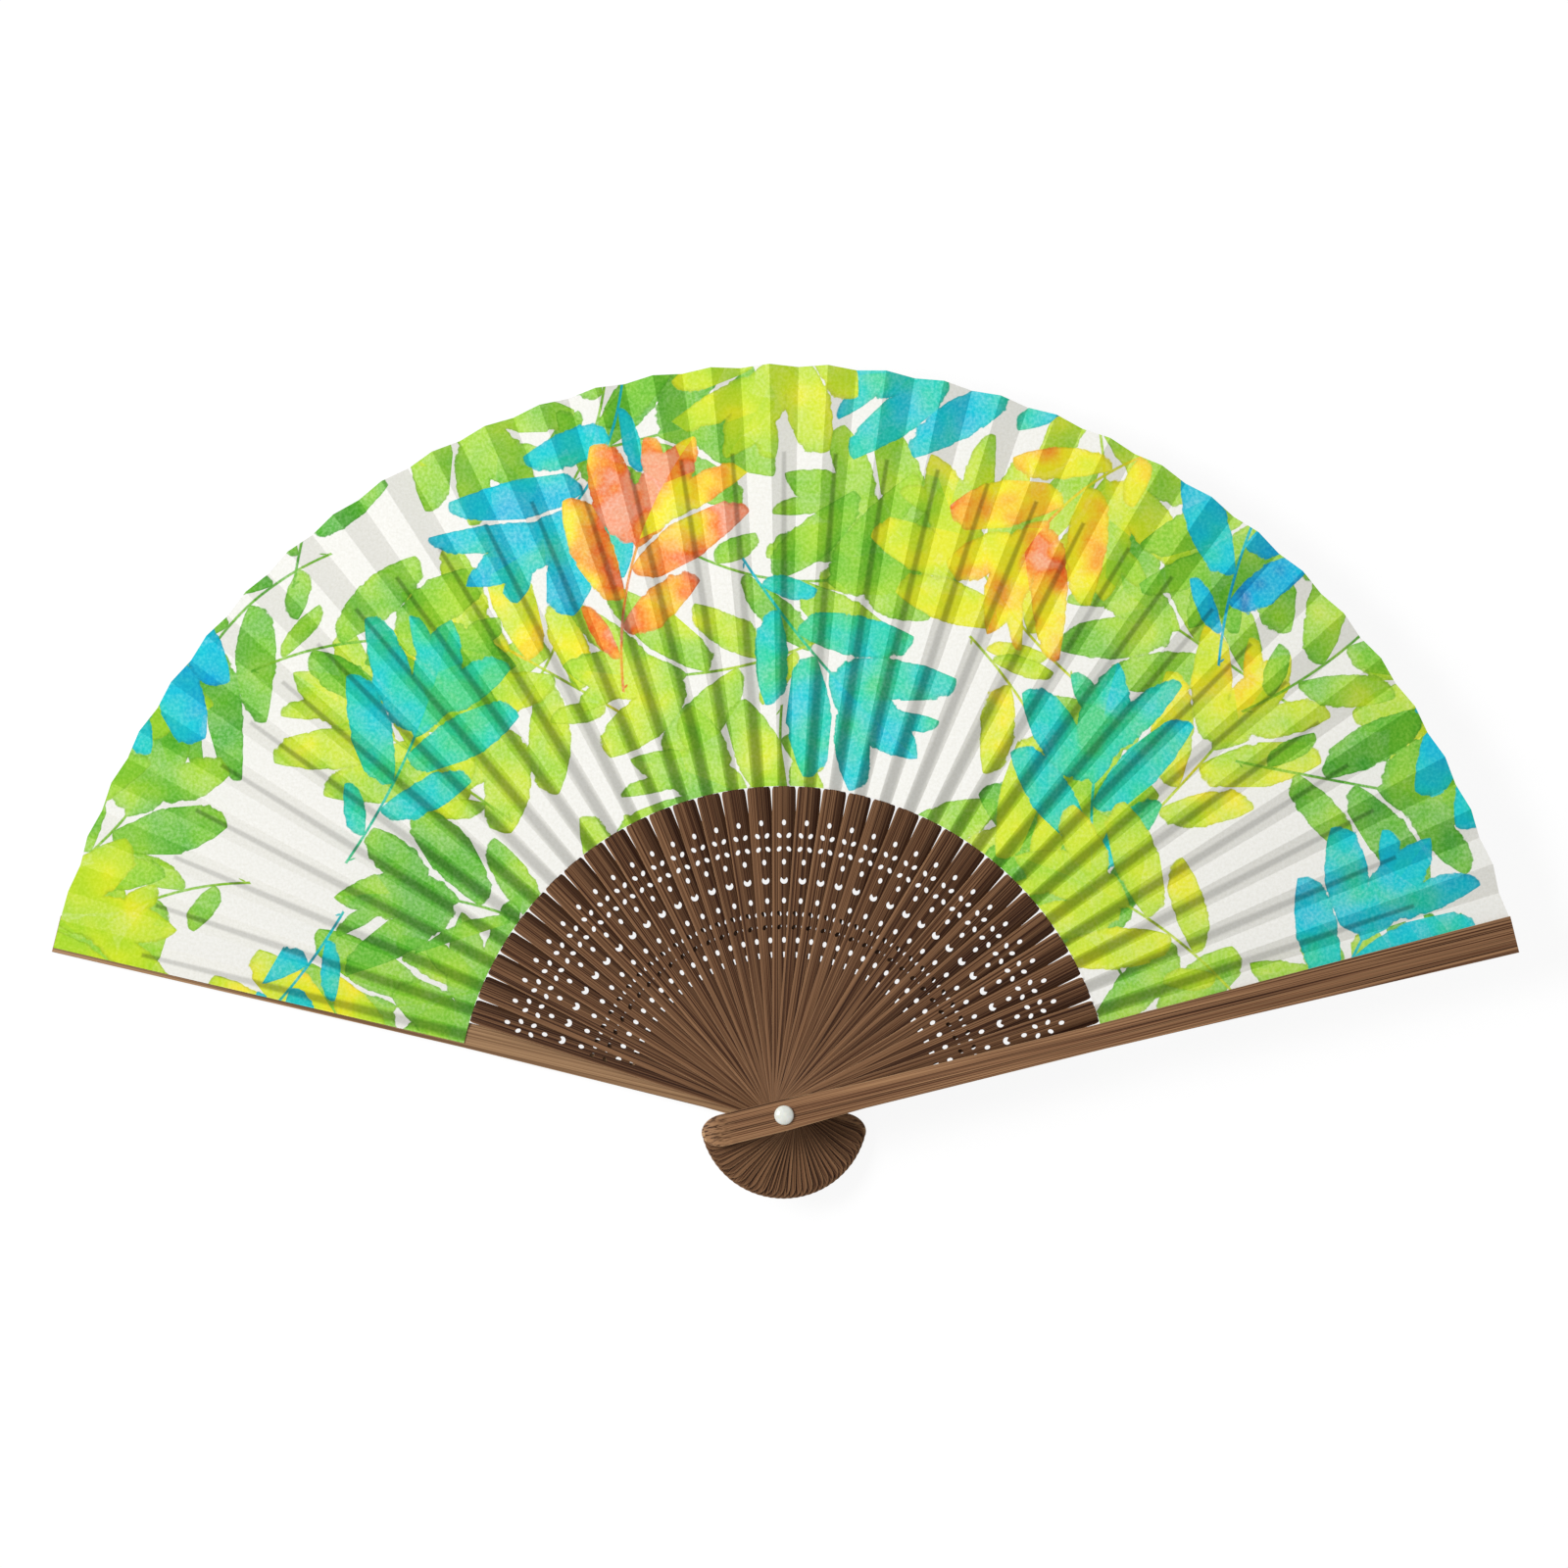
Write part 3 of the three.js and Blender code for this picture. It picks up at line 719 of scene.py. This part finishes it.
def spray_group():
    tree = bpy.data.node_groups.new("leafy spray", "ShaderNodeTree")
    tree.interface.new_socket(name="Plan", in_out="INPUT", socket_type="NodeSocketVector")
    tree.interface.new_socket(name="Presence", in_out="INPUT", socket_type="NodeSocketFloat")
    for name in ("Paint", "Rim", "Tone"):
        tree.interface.new_socket(name=name, in_out="OUTPUT", socket_type="NodeSocketFloat")
    plan = add_node(tree, "NodeGroupInput")

    # the cell, its chances, and the place inside it in millimetres, turned and bent
    deal = {"Vector": plan, "Scale": 1, "Randomness": CELL_JITTER}
    middle = add_node(tree, "ShaderNodeTexVoronoi", deal, output="Position", voronoi_dimensions="2D")
    chance = add_node(tree, "ShaderNodeSeparateColor", (middle.node.outputs["Color"],)).node.outputs
    offset = add_node(tree, "ShaderNodeVectorMath", (plan, middle), operation="SUBTRACT")
    local = add_node(tree, "ShaderNodeVectorMath", {0: offset, "Scale": SPRAY_CELL}, operation="SCALE")
    angle = add_node(tree, MATH, (chance[0], 2 * math.pi), operation="MULTIPLY")
    turning = {"Vector": local, "Angle": angle}
    turned = add_node(tree, "ShaderNodeVectorRotate", turning, rotation_type="Z_AXIS")
    along = add_node(tree, "ShaderNodeSeparateXYZ", (turned,))
    bend = add_node(tree, RANGE, (chance[1], 0, 1, -STEM_BEND, STEM_BEND))
    squared = add_node(tree, MATH, (along, along), operation="MULTIPLY")
    across = add_node(tree, MATH, (squared, bend, along.node.outputs["Y"]), operation="MULTIPLY_ADD")
    away = add_node(tree, MATH, (across,), operation="ABSOLUTE")
    side = add_node(tree, MATH, (across, 0), operation="GREATER_THAN")

    # which leaflet, how far out along it, and how wide it is there
    leaned = add_node(tree, MATH, (away, -1 / math.tan(LEAFLET_LEAN), along), operation="MULTIPLY_ADD")
    staggered = add_node(tree, MATH, (side, LEAFLET_STEP / 2, leaned), operation="MULTIPLY_ADD")
    steps = add_node(tree, MATH, (staggered, LEAFLET_STEP), operation="DIVIDE")
    number = add_node(tree, MATH, (steps,), operation="ROUND")
    off_axis = add_node(tree, MATH, (number, -LEAFLET_STEP, staggered), operation="MULTIPLY_ADD")
    off_axis = add_node(tree, MATH, (off_axis,), operation="ABSOLUTE")
    root = add_node(tree, MATH, (number, LEAFLET_STEP), operation="MULTIPLY")
    root = add_node(tree, MATH, (side, -LEAFLET_STEP / 2, root), operation="MULTIPLY_ADD")
    root_share = add_node(tree, MATH, (root, STEM_REACH), operation="DIVIDE")
    root_share = add_node(tree, MATH, (root_share, root_share), operation="MULTIPLY")
    fullness = add_node(tree, MATH, (1, root_share), operation="SUBTRACT", use_clamp=True)
    length = add_node(tree, MATH, (fullness, LEAFLET_LENGTH * math.sin(LEAFLET_LEAN)), operation="MULTIPLY")
    reach = add_node(tree, MATH, (away, length), operation="DIVIDE")
    half = add_node(tree, MATH, (pointed_belly(tree, reach), fullness), operation="MULTIPLY")
    ragged = {"Vector": plan, "Scale": SPRAY_CELL / FRAY_SIZE, "Detail": 3}
    fray = add_node(tree, NOISE, ragged, noise_dimensions="2D")
    fray = add_node(tree, RANGE, (fray, 0, 1, LEAFLET_HALF - FRAY, LEAFLET_HALF + FRAY))
    half = add_node(tree, MATH, (half, fray), operation="MULTIPLY")
    leaflet = add_node(tree, MATH, (off_axis, -math.sin(LEAFLET_LEAN), half), operation="MULTIPLY_ADD")

    # the leaflet at the stem's tip, and the stem
    tip = add_node(tree, RANGE, (along, TIP_START, TIP_START + LEAFLET_LENGTH, 0, 1))
    tip_half = add_node(tree, MATH, (pointed_belly(tree, tip), fray), operation="MULTIPLY")
    tip_leaflet = add_node(tree, MATH, (tip_half, away), operation="SUBTRACT")
    stem_end = add_node(tree, MATH, (along,), operation="ABSOLUTE")
    stem_end = add_node(tree, MATH, (STEM_REACH, stem_end), operation="SUBTRACT")
    stem = add_node(tree, MATH, (STEM_HALF, away), operation="SUBTRACT")
    stem = add_node(tree, MATH, (stem, stem_end), operation="MINIMUM")
    inside = add_node(tree, MATH, (leaflet, tip_leaflet), operation="MAXIMUM")
    inside = add_node(tree, MATH, (inside, stem), operation="MAXIMUM")

    # paint, its darker rim, and its tone, which runs from leaflet to leaflet as wet colours do
    here = add_node(tree, "ShaderNodeTexWhiteNoise", {"Vector": middle}, noise_dimensions="2D")
    here = add_node(tree, MATH, (here, plan.node.outputs["Presence"]), operation="LESS_THAN")
    paint = add_node(tree, RANGE, (inside, 0, SOFT_EDGE, 0, 1), interpolation_type=SMOOTH)
    paint = add_node(tree, MATH, (paint, here), operation="MULTIPLY")
    rim_share = add_node(tree, RANGE, (inside, *DRIED_RIM, 1, 0), interpolation_type=SMOOTH)
    soaked = {"Vector": plan, "Scale": SPRAY_CELL / WET_SIZE, "Detail": 2}
    wet = add_node(tree, NOISE, soaked, noise_dimensions="2D")
    wet = add_node(tree, RANGE, (wet, *WET_SPAN, -WET_RUN, WET_RUN))
    label = add_node(tree, "ShaderNodeCombineXYZ", (number, side, chance[2]))
    own = add_node(tree, "ShaderNodeTexWhiteNoise", {"Vector": label}, noise_dimensions="3D")
    shared = add_node(tree, MATH, (chance[2], 1 - OWN_TONE), operation="MULTIPLY")
    tone = add_node(tree, MATH, (own, OWN_TONE, shared), operation="MULTIPLY_ADD")
    tone = add_node(tree, MATH, (tone, wet), operation="ADD")
    add_node(tree, "NodeGroupOutput", {"Paint": paint, "Rim": rim_share, "Tone": tone})
    return tree


spray = spray_group()
print("spray group:", len(spray.nodes), "nodes")

# %% [markdown]
# ## Paper
# The leaf is thin, matte, slightly fibrous paper, two sheets pasted together with the ribs' slivers
# between them. Because paper lets some light through, each sliver casts a shadow that is painted as a soft
# grey band down the middle of its pleat, deeper under paint. That is worked out from the plan: the nearest
# stick's angle gives the distance to its middle line. The printed side lays six scatters of sprays over
# each other as washes. Their colour is a ramp from green through yellow and orange to blue, thinned by
# noise where the pigment settled in the paper, and darker along the rim where a wash dried. The panels
# that lie on a stick get painted shade that makes their colours deeper, and those between get a painted
# highlight that makes theirs paler. A gamma does that: it hardly moves white paper, and moves strong
# colours most. The back is the same paper left plain.

# %% Paper materials
WASHES = [
    (0.0, "#4aa92b"),
    (0.14, "#76bf36"),
    (0.3, "#a3d336"),
    (0.44, "#cfe130"),
    (0.52, "#f2e52c"),
    (0.575, "#f7b03a"),
    (0.615, "#f0742c"),
    (0.66, "#f1b39a"),
    (0.7, "#cbdf2e"),
    (0.76, "#5cc33f"),
    (0.82, "#2bcb98"),
    (0.89, "#00c2cf"),
    (0.97, "#00a6d8"),
    (1.0, "#2360ab"),
]
# shift and turn of the cells, share of cells with a spray, and span of tones
SCATTERS = [
    (Vector((0.31, 0.12, 0)), 0.35, 0.95, (0.0, 0.4)),
    (Vector((5.73, 2.38, 0)), 1.25, 0.95, (0.1, 0.54)),
    (Vector((3.18, 12.55, 0)), 2.85, 0.95, (0.0, 0.48)),
    (Vector((6.12, 9.27, 0)), 4.4, 0.5, (0.05, 0.55)),
    (Vector((9.44, 7.71, 0)), 2.1, 0.85, (0.8, 1.0)),
    (Vector((1.87, 4.66, 0)), 5.3, 0.4, (0.3, 0.64)),
]
DRIED_TINT = "#1f3f24"
DRIED_SHARE = 0.22
WASH_STRENGTH = (0.9, 1.0)
GRANULE_SHARE = 0.35
PAPER_WHITES = ("#e8e7e0", "#edece6")
GRANULE_SIZE = 0.8 * MM
POOL_SIZE = 6 * MM
PAPER_FIBRE = 0.5 * MM
FIBRE_HEIGHT = 0.03 * MM
FIBRE_STRENGTH = 0.3
PANEL_EDGE = (0.24, 0.26)  # shares of the angle between two sticks
# gammas for the painted shade on a stick's panel and the painted highlight on the panel between
PANEL_SHADE_GAMMAS = (1.12, 0.86)
GRAIN_DEPTH = 0.16
SLIVER_SHADE = 0.72
PRINTED_SHADE = 0.5
ROOT_BLUR = 0.7 * MM
TIP_BLUR = 0.35 * MM


def paper(name, printed):
    material = new_material(name)
    tree = material.node_tree
    plan = add_node(tree, "ShaderNodeUVMap", uv_map="plan")
    grains = []
    for size, detail in ((GRANULE_SIZE, 3), (POOL_SIZE, 3), (PAPER_FIBRE, 4)):
        grained = {"Vector": plan, "Scale": 1 / size, "Detail": detail}
        grains.append(add_node(tree, NOISE, grained, noise_dimensions="2D"))
    granule, pool, fibre = grains
    colour = add_node(tree, RAMP, (fibre,), stops=zip(NOISE_SPAN, PAPER_WHITES))
    depth = SLIVER_SHADE
    if printed:
        covered = 0
        cloud = add_node(tree, MIX, {0: GRANULE_SHARE, 2: pool, 3: granule})
        strength = add_node(tree, RANGE, (cloud, *NOISE_SPAN, *WASH_STRENGTH))
        for shift, turn, presence, tones in SCATTERS:
            cells = {"Vector": plan, "Location": shift, "Rotation": (0, 0, turn)}
            cells["Scale"] = [1 / (SPRAY_CELL * MM)] * 3
            place = add_node(tree, "ShaderNodeMapping", cells)
            drawn = add_node(tree, "ShaderNodeGroup", node_tree=spray).node
            tree.links.new(place, drawn.inputs["Plan"])
            drawn.inputs["Presence"].default_value = presence
            tone = add_node(tree, RANGE, (drawn.outputs["Tone"], 0, 1, *tones))
            wash = add_node(tree, RAMP, (tone,), stops=WASHES)
            dried = add_node(tree, MATH, (drawn.outputs["Rim"], DRIED_SHARE), operation="MULTIPLY")
            wash = add_node(tree, MIX, {0: dried, 6: wash, 7: linear(DRIED_TINT)}, **COLOURS)
            covering = add_node(tree, MATH, (drawn.outputs["Paint"], strength), operation="MULTIPLY")
            colour = add_node(tree, MIX, {0: covering, 6: colour, 7: wash}, **COLOURS)
            covered = add_node(tree, MATH, (covered, covering), operation="MAXIMUM")
        depth = add_node(tree, RANGE, (covered, 0, 1, SLIVER_SHADE, PRINTED_SHADE))

    x = add_node(tree, "ShaderNodeSeparateXYZ", (plan,))
    y = x.node.outputs["Y"]
    angle = add_node(tree, MATH, (y, x), operation="ARCTAN2")
    counted = (angle, stick_angle(0), stick_angle(1), 0, 1)
    sticks = add_node(tree, RANGE, counted, clamp=False)
    nearest = add_node(tree, MATH, (sticks,), operation="ROUND")
    off = add_node(tree, MATH, (sticks, nearest), operation="SUBTRACT")
    off = add_node(tree, MATH, (off,), operation="ABSOLUTE")
    # painted shade on the panels that lie on a stick, painted highlight on those between
    panel_shade = add_node(tree, RANGE, (off, *PANEL_EDGE, *PANEL_SHADE_GAMMAS))
    settled = add_node(tree, RANGE, (granule, *NOISE_SPAN, -GRAIN_DEPTH, GRAIN_DEPTH))
    exponent = add_node(tree, MATH, (panel_shade, settled), operation="ADD")
    colour = add_node(tree, "ShaderNodeGamma", (colour, exponent))
    radius = add_node(tree, "ShaderNodeVectorMath", (plan,), output="Value", operation="LENGTH")
    arc = add_node(tree, MATH, (radius, STICK_PITCH), operation="MULTIPLY")
    away = add_node(tree, MATH, (off, arc), operation="MULTIPLY")
    half = add_node(tree, RANGE, (radius, BLADE_LENGTH, SLIVER_END, SLIVER_ROOT, SLIVER_TIP))
    inside = add_node(tree, MATH, (half, away), operation="SUBTRACT")
    before_tip = add_node(tree, MATH, (SLIVER_END, radius), operation="SUBTRACT")
    inside = add_node(tree, MATH, (inside, before_tip), operation="MINIMUM")
    blur = add_node(tree, RANGE, (radius, BLADE_LENGTH, SLIVER_END, ROOT_BLUR, TIP_BLUR))
    inside = add_node(tree, MATH, (inside, blur), operation="DIVIDE")
    # painted shade: the sliver's shadow seen through the paper, deeper under paint
    band = add_node(tree, RANGE, (inside, -1, 1, 1, depth), interpolation_type=SMOOTH)
    shade = add_node(tree, "ShaderNodeCombineColor", (band, band, band))
    colour = add_node(tree, MIX, {0: 1, 6: colour, 7: shade}, blend_type="MULTIPLY", **COLOURS)
    fibres = {"Height": fibre, "Strength": FIBRE_STRENGTH, "Distance": FIBRE_HEIGHT}
    relief = add_node(tree, "ShaderNodeBump", fibres)
    finish = {"Base Color": colour, "Roughness": 0.85, "Specular IOR Level": 0.25, "Normal": relief}
    shader = add_node(tree, SHADER, finish)
    add_node(tree, SURFACE, (shader,))
    return material


printed_paper = paper("printed fan paper", True)
plain_paper = paper("plain fan paper", False)
print("printed paper:", len(printed_paper.node_tree.nodes), "nodes")

# %% [markdown]
# ## Creases
# The leaf is pleated once between every two sticks. A panel with a sliver lies on each stick and leans
# with it, left side high, and the panel between two sticks climbs to the next. So the leaf is known once
# its creases are: two for each stick, a straight line each, from the inner to the outer edge. At the
# guards the leaf ends in a straight edge a little inside the guard. The rim was trimmed aslant while the
# pleats were closed, so it is a small zigzag, apart from the panel that lies flat on the back guard.

# %% Crease lines
LEFT = 1
RIGHT = -1
LEAF_OUTER = 188.6 * MM
RIM_STEP = 0.8 * MM
LEAF_SEAT = 0.27 * MM
EDGE_MARGIN = 1.1 * MM
HALF_PANEL = STICK_PITCH / 4


def leaf_height(stick, x, y):
    if stick == 0:
        return back_low.z + guard_thickness(x) + LEAF_SEAT
    if stick == FRONT_STICK:
        return front_high.z - guard_thickness(x) - LEAF_SEAT
    return rib_height(stick) + y * PLEAT_SLOPE


def edge_offset(radius):
    along = (radius - LEAF_INNER) / (GUARD_LENGTH - LEAF_INNER)
    return GUARD_HALF + (GUARD_TIP_HALF - GUARD_HALF) * along - EDGE_MARGIN


def crease(stick, side):
    ends = []
    rim_radius = LEAF_OUTER - (RIM_STEP if stick > 0 and side == RIGHT else 0)
    for radius in (LEAF_INNER, rim_radius):
        at_edge = (stick, side) in ((0, LEFT), (FRONT_STICK, RIGHT))
        y = side * (edge_offset(radius) if at_edge else radius * math.sin(HALF_PANEL))
        x = math.sqrt(radius**2 - y**2)
        ends.append(stick_place(stick, 0) @ Vector((x, y, leaf_height(stick, x, y))))
    return ends


print("middle crease:", [[round(c / MM, 2) for c in end] for end in crease(FRONT_STICK // 2, LEFT)])

# %% [markdown]
# ## The pleated leaf
# Paper doesn't stretch, so when the fan closes each panel stays as it is and only the creases bend. The
# leaf is therefore cut at the creases into one strip for each stick: the panel on the stick and the one
# before it. A strip starts as a few corner points, its long edges are subdivided, and it is extruded to
# the thickness of the pasted sheets.

# %% Leaf strips
PAPER_HALF = 0.13 * MM
STRIP_CUTS = 11
SHARP_CREASE = math.radians(12)
UPWARD = 0.5  # least height of the normal of the printed face


def leaf_strip(stick):
    lines = [crease(stick - 1, RIGHT), crease(stick, LEFT), crease(stick, RIGHT)]
    if stick == 1:
        lines.insert(0, crease(0, LEFT))
    bm = bmesh.new()
    corners = [[bm.verts.new(end) for end in line] for line in lines]
    for (inner, outer), (next_inner, next_outer) in zip(corners, corners[1:]):
        bm.faces.new((inner, next_inner, next_outer, outer))
    long_edges = [bm.edges.get(pair) for pair in corners]
    bmesh.ops.subdivide_edges(bm, edges=long_edges, cuts=STRIP_CUTS, use_grid_fill=True)
    area = sum(face.calc_area() for face in bm.faces)
    width = sum((a[1] - b[1]).length for a, b in zip(lines, lines[1:]))
    upper = raise_faces(bm)
    plan = bm.loops.layers.uv.new("plan")
    for vert in bm.verts:
        vert.co.z += PAPER_HALF if vert in upper else -PAPER_HALF
    bmesh.ops.recalc_face_normals(bm, faces=bm.faces[:])
    for face in bm.faces:
        face.material_index = 0 if face.normal.z > UPWARD else 1
        for loop in face.loops:
            loop[plan].uv = loop.vert.co.xy
    strip = make_piece(f"paper_leaf_{stick:02d}", bm, [printed_paper, plain_paper], SHARP_CREASE)
    return strip, width, area


def fold_with_stick(piece):
    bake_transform(piece)


leaf_area = 0
for stick in range(1, FRONT_STICK + 1):
    piece, width, area = leaf_strip(stick)
    fold_with_stick(piece)
    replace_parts(piece, "leaf_front", "leaf_back")
    leaf_area += area
print("strips:", stick, "paper area:", round(leaf_area / (10 * MM) ** 2, 1), "cm2")

# %% [markdown]
# ## Floor and background
# The fan lies on a plain white sheet. A white floor alone renders grey wherever the light is below full,
# so for rays from the camera, and for those seen in a reflection, the floor adds a glow of its own and
# takes less from the lamps. It then reads as white and still keeps a pale shadow. All other rays see an
# ordinary white surface.

# %% Floor
FLOOR_SIZE = 3
FLOOR_DROP = 0.2 * MM
FLOOR_GLOW = 0.9


def seen_directly(tree):
    camera_ray = add_node(tree, "ShaderNodeLightPath", output="Is Camera Ray")
    path = camera_ray.node.outputs
    seen = add_node(tree, MATH, (camera_ray, path["Is Glossy Ray"]), operation="MAXIMUM")
    return add_node(tree, MATH, (seen, path["Is Transmission Ray"]), operation="MAXIMUM")


floor_mesh = bpy.data.meshes.new("floor")
bm = bmesh.new()
bmesh.ops.create_grid(bm, x_segments=1, y_segments=1, size=FLOOR_SIZE)
bmesh.ops.translate(bm, verts=bm.verts[:], vec=(0, 0, -FLOOR_DROP))
bm.to_mesh(floor_mesh)
bm.free()
floor = bpy.data.objects.new("floor", floor_mesh)
bpy.context.scene.collection.objects.link(floor)

floor_white = new_material("white paper sweep")
tree = floor_white.node_tree
plain = add_node(tree, "ShaderNodeBsdfDiffuse", {"Color": linear("#ebebeb")})
pale_shadow = add_node(tree, "ShaderNodeBsdfDiffuse", {"Color": linear("#636363")})
glow = add_node(tree, "ShaderNodeEmission", {"Strength": FLOOR_GLOW})
lit = add_node(tree, "ShaderNodeAddShader", (pale_shadow, glow))
surface = add_node(tree, "ShaderNodeMixShader", (seen_directly(tree), plain, lit))
add_node(tree, SURFACE, (surface,))
floor_mesh.materials.append(floor_white)
print("floor at z =", -FLOOR_DROP)

# %% [markdown]
# ## Light and camera
# A pleated leaf needs light from one side, or its panels look alike. One large soft lamp stands to the
# left, so panels that lean left are pale and those that lean right are grey, and an even white surround
# fills the shadows. Together they light a level surface at about 1, so colours render about as they are
# written. The camera looks straight down from five metres with a long lens, so that the sticks on top are
# hardly enlarged.

# %% World, lamp and camera
SURROUND = 0.42
LAMP_POWER = 17
LAMP_SIZE = 0.6
LAMP_DISTANCE = 1.5
LAMP_FROM_ZENITH = math.radians(40)
LAMP_BEARING = math.radians(165)
PHOTO_WIDTH = 393.9 * MM
CAMERA_DISTANCE = 5.0
VIEW_MIDDLE = Vector((0, 83 * MM, 12 * MM))

scene = bpy.context.scene
scene.view_settings.view_transform = "Standard"

world = bpy.data.worlds.new("white surround")
scene.world = world
world.use_nodes = True
world.node_tree.nodes.clear()
tree = world.node_tree
strength = add_node(tree, RANGE, (seen_directly(tree), 0, 1, SURROUND, 1))
background = add_node(tree, "ShaderNodeBackground", {"Color": linear("#ffffff"), "Strength": strength})
add_node(tree, "ShaderNodeOutputWorld", (background,))

lamp_data = bpy.data.lights.new("soft lamp", "AREA")
lamp_data.energy = LAMP_POWER
lamp_data.size = LAMP_SIZE
lamp = bpy.data.objects.new("soft lamp", lamp_data)
scene.collection.objects.link(lamp)
low, high = math.sin(LAMP_FROM_ZENITH), math.cos(LAMP_FROM_ZENITH)
to_lamp = Vector((low * math.cos(LAMP_BEARING), low * math.sin(LAMP_BEARING), high))
lamp.location = VIEW_MIDDLE + LAMP_DISTANCE * to_lamp
lamp.rotation_euler = to_lamp.to_track_quat("Z", "Y").to_euler()

camera_data = bpy.data.cameras.new("camera")
camera_data.lens = camera_data.sensor_width * CAMERA_DISTANCE / PHOTO_WIDTH
camera = bpy.data.objects.new("camera", camera_data)
scene.collection.objects.link(camera)
camera.location = VIEW_MIDDLE + Vector((0, 0, CAMERA_DISTANCE))
scene.camera = camera
print("lens:", round(camera_data.lens, 1), "mm")
